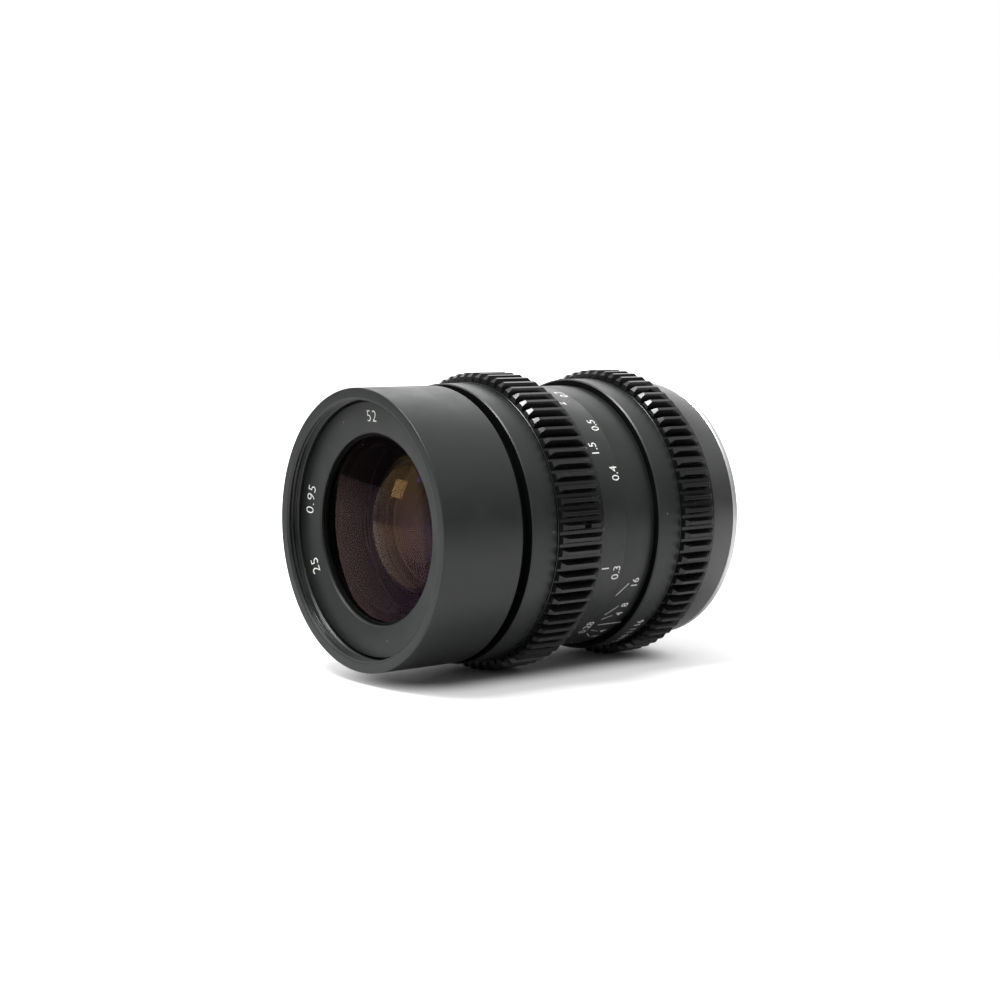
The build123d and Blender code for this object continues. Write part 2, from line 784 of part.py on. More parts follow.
# Cam pins in the optics barrel, and the rollers that run in the guide slots and cam grooves
cam_pin_outer = cam_groove_radius - edge_break
with BuildPart() as cam_pins:
    for pin in range(cam_pin_count):
        turn = cam_turn + pin * 360 / cam_pin_count
        with BuildSketch(radial_plane(cam_station, turn, cell_bore + seat_fit)):
            Circle(cam_pin_radius)
        extrude(amount=cam_pin_outer - cell_bore - seat_fit)
finish("cam_pins", cam_pins.part)

roller_inner = optics_radius + seam
with BuildPart() as cam_rollers:
    for pin in range(cam_pin_count):
        turn = cam_turn + pin * 360 / cam_pin_count
        with BuildSketch(radial_plane(cam_station, turn, roller_inner)):
            Circle(cam_roller_radius)
            Circle(cam_pin_radius + seat_fit, mode=Mode.SUBTRACT)
        extrude(amount=cam_pin_outer - seam - roller_inner)
finish("cam_rollers", cam_rollers.part)

# Front cell with a stepped seat for each of its four glasses
front_thread = glass_1.rim + retainer_thread_step
glass_1_seat = rear_edge(glass_1, glass_1.clear) - seat_fit
glass_2_seat = rear_edge(glass_2, glass_3.rim + glass_fit) - seat_fit
glass_3_seat = rear_edge(glass_3, glass_3.rim) - seat_fit
finish("front_cell", turned([
    at(cell_radius, front_cell_rear), at(cell_radius, front_cell_front),
    at(front_thread, front_cell_front), at(front_thread, front_edge(glass_1, glass_1.rim)),
    at(glass_1.rim + glass_fit, front_edge(glass_1, glass_1.rim)), at(glass_1.rim + glass_fit, glass_1_seat),
    at(glass_2.rim + glass_fit, glass_1_seat), at(glass_2.rim + glass_fit, glass_2_seat),
    at(glass_3.rim + glass_fit, glass_2_seat), at(glass_3.rim + glass_fit, glass_3_seat),
    at(glass_4.rim + glass_fit, glass_3_seat), at(glass_4.rim + glass_fit, glass_4_seat - seat_fit),
    at(glass_4.clear, glass_4_seat - seat_fit), at(glass_4.clear, front_cell_rear),
]))
lens("glass_1", glass_1)
lens("glass_2", glass_2)
lens("glass_3", glass_3)
lens("glass_4", glass_4)

# Retaining ring and spacers of the front group
front_retainer_hole = glass_1.rim - glass_seat
finish("front_retainer", sleeve(
    front_retainer_hole, front_thread - glass_fit,
    front_edge(glass_1, front_retainer_hole) + seat_fit, front_cell_front
))
spacer_1_2_hole = glass_2.rim - glass_seat
finish("front_spacer", sleeve(
    spacer_1_2_hole, glass_2.rim, front_edge(glass_2, spacer_1_2_hole) + seat_fit, glass_1_seat - seat_fit
))
spacer_2_3_hole = glass_3.rim - glass_seat
finish("middle_spacer", sleeve(
    spacer_2_3_hole, glass_3.rim, front_edge(glass_3, spacer_2_3_hole) + seat_fit,
    rear_edge(glass_2, spacer_2_3_hole) - seat_fit
))

# Iris base with the blades' pivot holes, and the wall round the blades
with BuildPart() as iris_base:
    with BuildSketch(station_plane(iris_base_rear)):
        Circle(cell_radius)
        Circle(iris_opening, mode=Mode.SUBTRACT)
        with PolarLocations(blade_pivot_radius, blade_count):
            Circle(blade_pin_radius + running_fit, mode=Mode.SUBTRACT)
    extrude(amount=iris_base_thickness)
finish("iris_base", iris_base.part)
finish("iris_wall", sleeve(
    iris_wall_radius, cell_radius, cam_ring_front + seat_fit, iris_base_rear - seat_fit
))


def swung(angle, radius, swing):
    """Where a point of a blade lies once the blade has swung in from its open place."""
    x = blade_pivot_radius + radius * cos(radians(angle - swing)) - blade_pivot_radius * cos(radians(swing))
    z = radius * sin(radians(angle - swing)) + blade_pivot_radius * sin(radians(swing))
    return x, z


# Iris cam ring: a slot for each blade's drive pin, and the fork that reaches back
closed_pin = swung(-drive_pin_angle, drive_circle_radius, blade_swing)
slot_turn = degrees(atan2(closed_pin[1], closed_pin[0])) + drive_slot_lead
fork_middle = (fork_inner + fork_outer) / 2
fork_gap = degrees((aperture_pin_radius + running_fit) / fork_middle)
fork_half = fork_gap + degrees(fork_tine / fork_middle)
fork_slot_front = aperture_pin_station + focus_travel + aperture_pin_radius + fork_end_margin / 2
fork_rear = aperture_pin_station - aperture_pin_radius - fork_end_margin
with BuildPart() as iris_cam_ring:
    with BuildSketch(station_plane(cam_ring_rear)):
        Circle(cell_bore - running_fit)
        Circle(cam_ring_bore, mode=Mode.SUBTRACT)
        with PolarLocations((drive_slot_inner + drive_slot_outer) / 2, blade_count, start_angle=slot_turn):
            SlotCenterToCenter(drive_slot_outer - drive_slot_inner, drive_slot_width, mode=Mode.SUBTRACT)
    extrude(amount=cam_ring_thickness)
    with BuildSketch(station_plane(fork_rear)):
        add(arc_band(fork_inner, fork_outer, fork_turn - fork_half, 2 * fork_half))
    extrude(amount=cam_ring_rear - fork_rear)
    with BuildSketch(station_plane(fork_rear)):
        add(arc_band(fork_inner - seam, fork_outer + seam, fork_turn - fork_gap, 2 * fork_gap))
    extrude(amount=fork_slot_front - fork_rear, mode=Mode.SUBTRACT)
finish("iris_cam_ring", iris_cam_ring.part)

# Iris blades at T16, each on its own level, with a drive pin where its way back is free
for level in range(blade_count):
    seat = level * 360 / blade_count
    front_face = iris_base_rear - blade_level_gap - level * blade_level
    pivot_place = polar(blade_pivot_radius, seat)
    pivot = Vector(pivot_place[0], -front_face, pivot_place[1])
    outwards = (cos(radians(seat - blade_swing)), 0, sin(radians(seat - blade_swing)))
    blade_plane = Plane(origin=pivot, x_dir=outwards, z_dir=(0, -1, 0))
    blade_middle = (blade_outer_radius + blade_inner_radius) / 2
    neck = blade_pivot_radius - blade_middle
    with BuildPart() as blade:
        with BuildSketch(blade_plane.offset(-blade_thickness)):
            with Locations((-blade_pivot_radius, 0)):
                add(arc_band(blade_inner_radius, blade_outer_radius, -drive_pin_angle, drive_pin_angle))
                with PolarLocations(blade_middle, 2, -drive_pin_angle, drive_pin_angle):
                    Circle(blade_width / 2)
            with Locations((-neck / 2, 0)):
                Rectangle(neck, 2 * blade_ear_radius)
            Circle(blade_ear_radius)
        extrude(amount=blade_thickness)
        with BuildSketch(blade_plane.offset(-blade_thickness)):
            Circle(blade_pin_radius)
        extrude(amount=iris_base_rear + iris_base_thickness - edge_break - front_face + blade_thickness)
        if level >= first_driven_level:
            with BuildSketch(blade_plane):
                with Locations((-blade_pivot_radius, 0)):
                    with PolarLocations(drive_circle_radius, 1, start_angle=-drive_pin_angle):
                        Circle(blade_pin_radius)
            extrude(amount=cam_ring_rear + edge_break - front_face)
    finish(f"iris_blade_{level + 1:02d}", blade.part)

# Rear cell: flange with the fork's window, and stepped seats for five glasses
doublet_thread = doublet_rim + retainer_thread_step
doublet_lip = doublet_rim - glass_seat
doublet_seat = rear_edge(glass_6, doublet_lip) - seat_fit
glass_7_seat = front_edge(glass_7, doublet_lip) + seat_fit
glass_8_seat = front_edge(glass_8, glass_7.rim) + seat_fit
glass_9_seat = front_edge(glass_9, glass_9.rim) + seat_fit
rear_thread = glass_9.rim + retainer_thread_step
rear_cell_radius = rear_thread + rear_cell_wall
with BuildPart() as rear_cell:
    with BuildSketch(Plane.XY):
        with BuildLine():
            Polyline(
                at(rear_cell_radius, rear_cell_rear), at(rear_cell_radius, rear_cell_flange_rear),
                at(cell_radius, rear_cell_flange_rear), at(cell_radius, rear_cell_front),
                at(doublet_thread, rear_cell_front), at(doublet_thread, front_edge(glass_5, glass_5.rim)),
                at(doublet_rim + glass_fit, front_edge(glass_5, glass_5.rim)),
                at(doublet_rim + glass_fit, doublet_seat), at(doublet_lip, doublet_seat),
                at(doublet_lip, glass_7_seat), at(glass_7.rim + glass_fit, glass_7_seat),
                at(glass_7.rim + glass_fit, glass_8_seat), at(glass_8.rim + glass_fit, glass_8_seat),
                at(glass_8.rim + glass_fit, glass_9_seat), at(glass_9.rim + glass_fit, glass_9_seat),
                at(glass_9.rim + glass_fit, rear_retainer_front + seat_fit),
                at(rear_thread, rear_retainer_front + seat_fit), at(rear_thread, rear_cell_rear), close=True
            )
        make_face()
    revolve(axis=Axis.Y)
    window_margin = fork_half + degrees(seam / fork_inner) + fork_gap
    with BuildSketch(station_plane(rear_cell_flange_rear - seam)):
        add(arc_band(
            fork_inner - 2 * seam, cell_radius + overrun, fork_turn - window_margin,
            aperture_throw + 2 * window_margin
        ))
    extrude(amount=rear_cell_flange + 2 * seam, mode=Mode.SUBTRACT)
finish("rear_cell", rear_cell.part)
lens("glass_5", glass_5)
lens("glass_6", glass_6)
lens("glass_7", glass_7)
lens("glass_8", glass_8)
lens("glass_9", glass_9)

# Retaining rings and spacer of the rear group
finish("doublet_retainer", sleeve(
    doublet_lip, doublet_thread - glass_fit,
    front_edge(glass_5, glass_5.rim) + seat_fit, rear_cell_front - seam
))
rear_spacer_hole = glass_7.rim - glass_seat
finish("rear_spacer", sleeve(
    rear_spacer_hole, glass_7.rim, front_edge(glass_8, rear_spacer_hole) + seat_fit,
    rear_edge(glass_7, rear_spacer_hole) - seat_fit
))
finish("rear_retainer", sleeve(
    glass_9.rim - glass_seat, rear_thread - glass_fit, rear_cell_rear, rear_retainer_front
))
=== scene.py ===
import json
from math import cos, hypot, pi, radians, sin
import bmesh
import bpy
from mathutils import Matrix, Vector

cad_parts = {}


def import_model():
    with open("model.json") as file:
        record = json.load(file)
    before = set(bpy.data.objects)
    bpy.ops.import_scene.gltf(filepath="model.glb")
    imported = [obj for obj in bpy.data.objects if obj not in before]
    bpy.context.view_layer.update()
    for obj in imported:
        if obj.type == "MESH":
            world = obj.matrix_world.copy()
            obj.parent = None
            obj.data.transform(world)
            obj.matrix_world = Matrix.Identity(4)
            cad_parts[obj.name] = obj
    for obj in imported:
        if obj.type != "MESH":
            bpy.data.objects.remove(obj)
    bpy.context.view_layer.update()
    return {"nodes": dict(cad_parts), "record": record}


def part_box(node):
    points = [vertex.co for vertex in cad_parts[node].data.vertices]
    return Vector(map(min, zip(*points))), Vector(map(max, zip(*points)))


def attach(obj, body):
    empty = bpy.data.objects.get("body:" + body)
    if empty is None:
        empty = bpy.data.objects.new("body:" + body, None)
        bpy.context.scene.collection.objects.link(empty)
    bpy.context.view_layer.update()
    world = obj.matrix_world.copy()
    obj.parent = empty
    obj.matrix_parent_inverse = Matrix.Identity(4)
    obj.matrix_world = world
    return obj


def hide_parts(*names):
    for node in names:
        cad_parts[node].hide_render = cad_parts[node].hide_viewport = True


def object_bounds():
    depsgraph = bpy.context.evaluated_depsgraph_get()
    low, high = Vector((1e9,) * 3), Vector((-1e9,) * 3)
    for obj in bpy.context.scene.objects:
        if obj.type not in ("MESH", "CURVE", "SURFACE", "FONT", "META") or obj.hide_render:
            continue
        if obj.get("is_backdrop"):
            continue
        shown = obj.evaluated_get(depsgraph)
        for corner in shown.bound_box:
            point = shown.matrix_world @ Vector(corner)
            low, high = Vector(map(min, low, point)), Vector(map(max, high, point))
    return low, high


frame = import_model()

# Sizes below are millimetres, and a station is a distance in front of the flange face
MM = 0.001
SEGMENTS = 224
FULL_TURN = [2 * pi * step / SEGMENTS for step in range(SEGMENTS)]
scene = bpy.context.scene


def ring(node):
    """A turned node's outer radius, and its rear and front stations."""
    low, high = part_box(node)
    return high[0] / MM, -high[1] / MM, -low[1] / MM


barrel_radius, barrel_rear, rim = ring("front_barrel")
rear_radius, rear_back, rear_front = ring("rear_barrel")
scale_radius, scale_rear, _ = ring("scale_ring")
focus_radius, focus_rear, focus_front = ring("focus_ring")
collar_radius, aperture_rear, aperture_front = ring("aperture_ring")
tip_radius, focus_gear_rear, focus_gear_front = ring("focus_gear")
_, aperture_gear_rear, aperture_gear_front = ring("aperture_gear")

# Camera, fitted to the photograph
AZIMUTH, ELEVATION = radians(51.434), radians(5.313)
EYE = Vector((312.64, -290.90, 41.21)) * MM
LENS, SENSOR = 70.04, 36

# Filter bore and name ring, measured on the photograph
FILTER_CREST, THREAD_PITCH, THREAD_DEPTH, THREAD_LEAD = 25.6, 0.75, 0.4, 0.4
NAME_FACE, NAME_INNER_FACE, NAME_HOLE, NAME_RADIUS = rim - 3.0, rim - 3.75, 18.96, 25.12
NAME_LIP = NAME_HOLE + 0.35

# Gear rings, measured on the photograph: each bevel has a length along the axis and a height
TEETH, ROOT_RADIUS, HUB_RADIUS, GEAR_BORE = 74, 28.6, 28.45, 27.48
TOOTH_PITCH, UNDERSIDE = 2 * pi / TEETH, -pi / 2
HUB_CHAMFER, GEAR_SEAT = 0.08, HUB_RADIUS - 1.0
REAR_LAND, FRONT_LAND, REAR_BEVEL, FRONT_BEVEL = 0.95, 0.25, (1.75, 1.4), (0.95, 0.8)

# Bores and steps inside the shells, as the solids have them
FIXED_BORE, RUNNING_BORE = 24.23, 24.26
NAME_BED, NAME_BACK, NAME_BED_BORE, NAME_SKIRT = rim - 4.45, rim - 4.42, 24.7, 24.67
BARREL_STEP = 65.7
REAR_WEB_BORE, REAR_WEB_DEPTH = 20.0, 2.3
SEAM, SCALE_SEAM = 0.03, 0.02

# Marks: how far paint stands off its surface, and the index line's angle, measured on the photograph
PAINT_HEIGHT = 0.015
INDEX_ANGLE = -50.5


# Materials
def adder(tree):
    """A function that adds a node to a tree, with some of its inputs set or linked."""
    def add(kind, inputs, **settings):
        node = tree.nodes.new(kind)
        for key, value in settings.items():
            setattr(node, key, value)
        for key, value in inputs.items():
            if isinstance(value, bpy.types.NodeSocket):
                tree.links.new(value, node.inputs[key])
            else:
                node.inputs[key].default_value = value
        return node
    return add


def graph(name):
    """A new material, its shader, and a function that adds nodes beside it."""
    material = bpy.data.materials.new(name)
    material.use_nodes = True
    tree = material.node_tree
    return material, tree.nodes["Principled BSDF"], adder(tree)


def join(shader, key, socket):
    """Links a socket to one of a shader's inputs."""
    shader.id_data.links.new(socket, shader.inputs[key])


def mapped(add, value, before=(0.0, 1.0), after=(0.0, 1.0), **settings):
    """A value carried from one range over to another."""
    return add("ShaderNodeMapRange", {
        "Value": value, "From Min": before[0], "From Max": before[1], "To Min": after[0], "To Max": after[1]
    }, **settings).outputs[0]


def reckoned(add, operation, first, second):
    """The result of an operation on two values."""
    return add("ShaderNodeMath", {0: first, 1: second}, operation=operation).outputs[0]


def toned(add, colour, tone):
    """A colour made lighter or darker by a value."""
    return add("ShaderNodeVectorMath", {0: colour, "Scale": tone}, operation="SCALE").outputs[0]


def object_place(add):
    """A place in the object's own coordinates."""
    return add("ShaderNodeTexCoord", {}).outputs["Object"]


def lathe_place(add, along, across, around=30.0):
    """Coordinates that follow a turned surface: stretched round the axis, fine along it."""
    place = object_place(add)
    split = add("ShaderNodeSeparateXYZ", {"Vector": place})
    square = add("ShaderNodeVectorMath", {0: place, 1: (1, 0, 1)}, operation="MULTIPLY")
    radius = add("ShaderNodeVectorMath", {0: square.outputs[0]}, operation="LENGTH")
    station = reckoned(add, "MULTIPLY", split.outputs["Y"], along)
    reach = reckoned(add, "MULTIPLY", radius.outputs["Value"], across)
    turn = reckoned(add, "MULTIPLY", split.outputs["Z"], around)
    return add("ShaderNodeCombineXYZ", {"X": station, "Y": reach, "Z": turn}).outputs[0]


def turning_marks(add, along, across, detail):
    """The noise of turning marks."""
    return add("ShaderNodeTexNoise", {
        "Vector": lathe_place(add, along, across), "Scale": 1.0, "Detail": detail
    }).outputs["Fac"]


def anodised(name, colour, roughness, grain=0.12, turning=0.05, level=0.5, patch=0.06):
    """Black anodised aluminium: a fine blasted grain, faint turning marks, patches and specks of dust."""
    patch_span, grain_depth, dust_colour = (0.3, 0.7), 0.00002, (0.3, 0.3, 0.29, 1.0)
    material, shader, add = graph(name)
    place = object_place(add)
    patches = add("ShaderNodeTexNoise", {"Vector": place, "Scale": 160.0, "Detail": 4.0, "Roughness": 0.6})
    fine = add("ShaderNodeTexNoise", {"Vector": place, "Scale": 9000.0, "Detail": 2.0})
    rings = turning_marks(add, 5200.0, 5200.0, 2.0)
    specks = add("ShaderNodeTexVoronoi", {"Vector": place, "Scale": 420.0, "Randomness": 1.0})
    dust = mapped(add, specks.outputs["Distance"], (0.035, 0.06), (1.0, 0.0))
    draw = add("ShaderNodeSeparateColor", {"Color": specks.outputs["Color"]}).outputs[0]
    speck = reckoned(add, "MULTIPLY", dust, mapped(add, draw, (0.9, 0.92)))
    shade = mapped(add, patches.outputs["Fac"], patch_span, (0.88, 1.12))
    dusty = add("ShaderNodeMix", {"Factor": speck, "A": toned(add, colour, shade), "B": dust_colour},
                data_type="RGBA")
    join(shader, "Base Color", dusty.outputs["Result"])
    rough = mapped(add, patches.outputs["Fac"], patch_span, (roughness - patch, roughness + patch))
    join(shader, "Roughness", rough)
    blasted = add("ShaderNodeBump", {
        "Height": fine.outputs["Fac"], "Strength": grain, "Distance": grain_depth
    })
    marked = add("ShaderNodeBump", {
        "Height": rings, "Strength": turning, "Distance": grain_depth, "Normal": blasted.outputs[0]
    })
    join(shader, "Normal", marked.outputs[0])
    shader.inputs["Specular IOR Level"].default_value = level
    return material


def metal(name, colour, roughness, turning=0.1):
    """Bare or plated metal with fine turning marks."""
    material, shader, add = graph(name)
    rings = turning_marks(add, 6000.0, 9000.0, 3.0)
    patches = add("ShaderNodeTexNoise", {"Vector": object_place(add), "Scale": 260.0, "Detail": 4.0})
    tone = mapped(add, patches.outputs["Fac"], after=(0.85, 1.1))
    join(shader, "Base Color", toned(add, colour, tone))
    join(shader, "Roughness", mapped(add, rings, after=(roughness * 0.7, roughness * 1.3)))
    marks = add("ShaderNodeBump", {"Height": rings, "Strength": turning, "Distance": 0.00001})
    join(shader, "Normal", marks.outputs[0])
    shader.inputs["Metallic"].default_value = 1.0
    return material


def glass(name, tint, colour, film):
    """Coated optical glass with a thin film that quells its reflection, and a little dust."""
    material, shader, add = graph(name)
    specks = add("ShaderNodeTexVoronoi", {"Vector": object_place(add), "Scale": 520.0, "Randomness": 1.0})
    join(shader, "Roughness", mapped(add, specks.outputs["Distance"], (0.03, 0.05), (0.25, 0.0)))
    shader.inputs["Base Color"].default_value = colour
    shader.inputs["Transmission Weight"].default_value = 1.0
    shader.inputs["IOR"].default_value = 1.5
    shader.inputs["Specular Tint"].default_value = tint
    shader.inputs["Thin Film Thickness"].default_value, shader.inputs["Thin Film IOR"].default_value = film
    return material


def paint(name, colour):
    """Engraving filled with white paint, a little uneven."""
    material, shader, add = graph(name)
    uneven = add("ShaderNodeTexNoise", {"Vector": object_place(add), "Scale": 3500.0, "Detail": 3.0})
    join(shader, "Base Color", toned(add, colour, mapped(add, uneven.outputs["Fac"], after=(0.8, 1.1))))
    shader.inputs["Roughness"].default_value = 0.6
    rough = add("ShaderNodeBump", {"Height": uneven.outputs["Fac"], "Strength": 0.2, "Distance": 0.00001})
    join(shader, "Normal", rough.outputs[0])
    return material


barrel_black = anodised("barrel_black", (0.010, 0.0112, 0.011), 0.4)
rear_black = anodised("rear_black", (0.024, 0.025, 0.0245), 0.36, level=1.0)
gear_black = anodised("gear_black", (0.005, 0.0052, 0.005), 0.24, grain=0.05, turning=0.0, patch=0.04)
name_black = anodised("name_ring_black", (0.010, 0.0112, 0.011), 0.42)
# The deep inner black is the real black of the inner parts, and also serves as painted shade on groove faces
# and on parts in shade
inner_black = anodised("inner_black", (0.003, 0.003, 0.003), 0.5, grain=0.0, turning=0.0, level=0.06)
baffle_black = anodised("baffle_black", (0.012, 0.012, 0.012), 0.65, turning=0.1)
blade_black = anodised("blade_black", (0.03, 0.03, 0.032), 0.35, turning=0.0)
shim_black = anodised("shim_black", (0.02, 0.02, 0.02), 0.6, turning=0.0)
flange_metal = metal("flange_metal", (0.74, 0.74, 0.74), 0.42)
screw_steel = metal("screw_steel", (0.5, 0.5, 0.51), 0.3)
grub_steel = metal("grub_steel", (0.12, 0.12, 0.125), 0.35, turning=0.0)
roller_brass = metal("roller_brass", (0.7, 0.5, 0.2), 0.3)
front_glass = glass("front_glass", (1.0, 1.0, 1.0, 1.0), (0.8, 0.78, 0.76, 1.0), (133.0, 1.26))
inner_glass = glass("inner_glass", (1.0, 1.0, 1.0, 1.0), (0.84, 0.82, 0.78, 1.0), (130.0, 1.27))
white_paint = paint("white_paint", (0.82, 0.82, 0.8))

looks = {
    "barrel_black": barrel_black, "gear_black": gear_black, "name_ring_black": name_black,
    "inner_black": inner_black, "baffle_black": baffle_black, "blade_steel": blade_black,
    "shim_plastic": shim_black, "flange_metal": flange_metal, "screw_steel": screw_steel,
    "grub_steel": grub_steel, "roller_brass": roller_brass, "front_glass": front_glass,
    "inner_glass": inner_glass,
}
for row in frame["record"]["subparts"]:
    node = frame["nodes"][row["node"]]
    node.data.materials.clear()
    # Painted shade: the retaining ring, the shim and the fixed tube lie in shade, so they get the deep inner
    # black instead of their own finish
    painted_shade_parts = row["node"] in ("focus_retaining_ring", "focus_shim", "fixed_tube")
    node.data.materials.append(inner_black if painted_shade_parts else looks[row["material_slot"]])


# Meshes
def point(radius, station, angle):
    """A point in metres from its radius, its station and its angle in radians."""
    return Vector((radius * cos(angle), -station, radius * sin(angle))) * MM


def eased(profile, steps=3):
    """A profile's corners, rounded where a corner has a third value, its rounding."""
    out = []
    for index, corner in enumerate(profile):
        if len(corner) < 3:
            out.append(corner)
            continue
        here = Vector(corner[:2])
        before = (Vector(profile[index - 1][:2]) - here).normalized()
        after = (Vector(profile[(index + 1) % len(profile)][:2]) - here).normalized()
        start = here + before * corner[2]
        end = here + after * corner[2]
        for step in range(steps + 1):
            t = step / steps
            bent = start * (1 - t) ** 2 + here * 2 * t * (1 - t) + end * t ** 2
            out.append((bent.x, bent.y))
    return out


def piece(name, rows, material, body, slot=None, closed=True, round_rows=True, sharp=35):
    """A mesh from rows of points, joined round each row and from row to row, riding on a body."""
    mesh = bpy.data.meshes.new(name)
    built = bmesh.new()
    grid = [[built.verts.new(place) for place in row] for row in rows]
    last = len(rows) if closed else len(rows) - 1
    count = len(rows[0])
    for i in range(last):
        for j in range(count if round_rows else count - 1):
            here, there = grid[i], grid[(i + 1) % len(rows)]
            built.faces.new((here[j], here[(j + 1) % count], there[(j + 1) % count], there[j]))
    bmesh.ops.remove_doubles(built, verts=built.verts, dist=1e-8)
    bmesh.ops.recalc_face_normals(built, faces=built.faces)
    built.to_mesh(mesh)
    built.free()
    mesh.shade_smooth()
    mesh.set_sharp_from_angle(angle=radians(sharp))
    mesh.materials.append(material)
    made = bpy.data.objects.new(name, mesh)
    scene.collection.objects.link(made)
    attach(made, body)
    return made


def lathe(name, profile, material, body, slot, closed=True):
    """A turned piece. A profile's radius may be a function of the angle."""
    rows = []
    for radius, station in profile:
        rows.append([point(radius(a) if callable(radius) else radius, station, a) for a in FULL_TURN])
    return piece(name, rows, material, body, slot, closed=closed)


def blacken(made, chosen):
    """Gives the faces that a test of (radius, station, normal) picks a deep black of their own: the lens
    elements' blackened edges, and painted shade on faces in the grooves.
    """
    made.data.materials.append(inner_black)
    for face in made.data.polygons:
        radius, station = hypot(face.center.x, face.center.z) / MM, -face.center.y / MM
        if chosen(radius, station, face.normal):
            face.material_index = 1


def paint_groove_shade(made, front):
    """Paints a collar's flat front face deep black, as painted shade where the groove in front of it lies in
    shadow.
    """
    depth, square = 0.05, -0.95
    blacken(made, lambda _, station, normal: station > front - depth and normal.y < square)


def thread_radius(station, rear, front):
    """The filter thread's radius as a function of the angle, at one station."""
    fade = min(1.0, (front - station) / THREAD_PITCH, (station - rear) / THREAD_PITCH)
    steepness, valley = 1.6, 0.3

    def radius(angle):
        phase = (station / THREAD_PITCH + angle / (2 * pi)) % 1
        ridge = min(1.0, max(0.0, steepness * abs(2 * phase - 1) - valley))
        return FILTER_CREST + THREAD_DEPTH * ridge * max(0.0, fade)

    return radius


def front_barrel():
    """The front shell with its rounded rear edge, its rim and the thread of the filter bore, and painted
    shade on its rear face.
    """
    thread_rear, thread_front, rows_a_turn = NAME_FACE + SEAM, rim - THREAD_LEAD, 10
    count = round((thread_front - thread_rear) / THREAD_PITCH * rows_a_turn)
    thread = []
    for step in range(count + 1):
        station = thread_front + (thread_rear - thread_front) * step / count
        thread.append((thread_radius(station, thread_rear, thread_front), station))
    rear_rounding, rim_rounding, mouth_rounding, mouth_width = 0.9, 0.32, 0.12, 0.42
    outside = eased([
        (FIXED_BORE, barrel_rear), (barrel_radius, barrel_rear, rear_rounding),
        (barrel_radius, rim, rim_rounding), (FILTER_CREST + mouth_width, rim, mouth_rounding),
        (FILTER_CREST, thread_front)
    ], steps=8)[:-1]
    inside = [(FILTER_CREST, NAME_BED), (NAME_BED_BORE, NAME_BED), (NAME_BED_BORE, BARREL_STEP),
              (FIXED_BORE, BARREL_STEP)]
    made = lathe("front_shell", outside + thread + inside, barrel_black, "barrel", "barrel_black")
    # Painted shade: the barrel's rear face, deep in the groove before the focus collar, is made deep black
    depth, square = 0.1, 0.9
    blacken(made, lambda _, station, normal: station < barrel_rear + depth and normal.y > square)
    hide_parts("front_barrel")


def name_ring():
    """The conical name ring with its inner lip."""
    outer_rounding, lip_rounding, hole_rounding, lip_fall, thickness = 0.06, 0.05, 0.04, 0.3, 0.8
    underside = NAME_INNER_FACE - thickness
    made = lathe("name_cone", eased([
        (NAME_RADIUS, NAME_BACK), (NAME_RADIUS, NAME_FACE, outer_rounding),
        (NAME_LIP, NAME_INNER_FACE, lip_rounding), (NAME_HOLE, NAME_INNER_FACE - lip_fall, hole_rounding),
        (NAME_HOLE, underside), (NAME_SKIRT, underside), (NAME_SKIRT, NAME_BACK)
    ]), name_black, "barrel", "name_ring_black")
    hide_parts("name_ring")


def focus_ring():
    """The focus ring: tail, gear seat and front collar."""
    collar_rear, rounding, chamfer = focus_gear_front + SEAM, 0.3, 0.22
    made = lathe("focus_shell", eased([
        (RUNNING_BORE, focus_rear), (scale_radius, focus_rear, SCALE_SEAM), (scale_radius, focus_gear_rear),
        (GEAR_SEAT, focus_gear_rear), (GEAR_SEAT, collar_rear), (focus_radius, collar_rear, rounding),
        (focus_radius, focus_front - chamfer), (focus_radius - chamfer, focus_front),
        (RUNNING_BORE, focus_front)
    ]), barrel_black, "focus", "barrel_black")
    # Painted shade: the focus collar's front face in the groove is made deep black
    paint_groove_shade(made, focus_front)
    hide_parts("focus_ring")


def scale_ring():
    """The fixed ring that carries the depth-of-field marks."""
    front, rounding = focus_rear - SCALE_SEAM, 0.12
    made = lathe("scale_shell", eased([
        (FIXED_BORE, scale_rear), (scale_radius, scale_rear, rounding), (scale_radius, front, SCALE_SEAM),
        (FIXED_BORE, front)
    ]), barrel_black, "barrel", "barrel_black")
    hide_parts("scale_ring")


def aperture_ring():
    """The aperture ring: gear seat and collar, with a bright bevel in front."""
    collar_rear, rounding, chamfer = aperture_gear_front + SEAM, 0.3, 0.25
    made = lathe("aperture_shell", eased([
        (RUNNING_BORE, aperture_rear), (GEAR_SEAT, aperture_rear), (GEAR_SEAT, collar_rear),
        (collar_radius, collar_rear, rounding), (collar_radius, aperture_front - chamfer),
        (collar_radius - chamfer, aperture_front), (RUNNING_BORE, aperture_front)
    ]), barrel_black, "aperture", "barrel_black")
    # Painted shade: the aperture collar's front face in the groove is made deep black
    paint_groove_shade(made, aperture_front)
    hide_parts("aperture_ring")


def rear_barrel():
    """The rear shell."""
    rear_rounding, front_rounding = 0.3, 0.15
    made = lathe("rear_shell", eased([
        (REAR_WEB_BORE, rear_back), (rear_radius, rear_back, rear_rounding),
        (rear_radius, rear_front, front_rounding), (FIXED_BORE, rear_front),
        (FIXED_BORE, rear_back + REAR_WEB_DEPTH), (REAR_WEB_BORE, rear_back + REAR_WEB_DEPTH)
    ]), rear_black, "barrel", "barrel_black")
    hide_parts("rear_barrel")


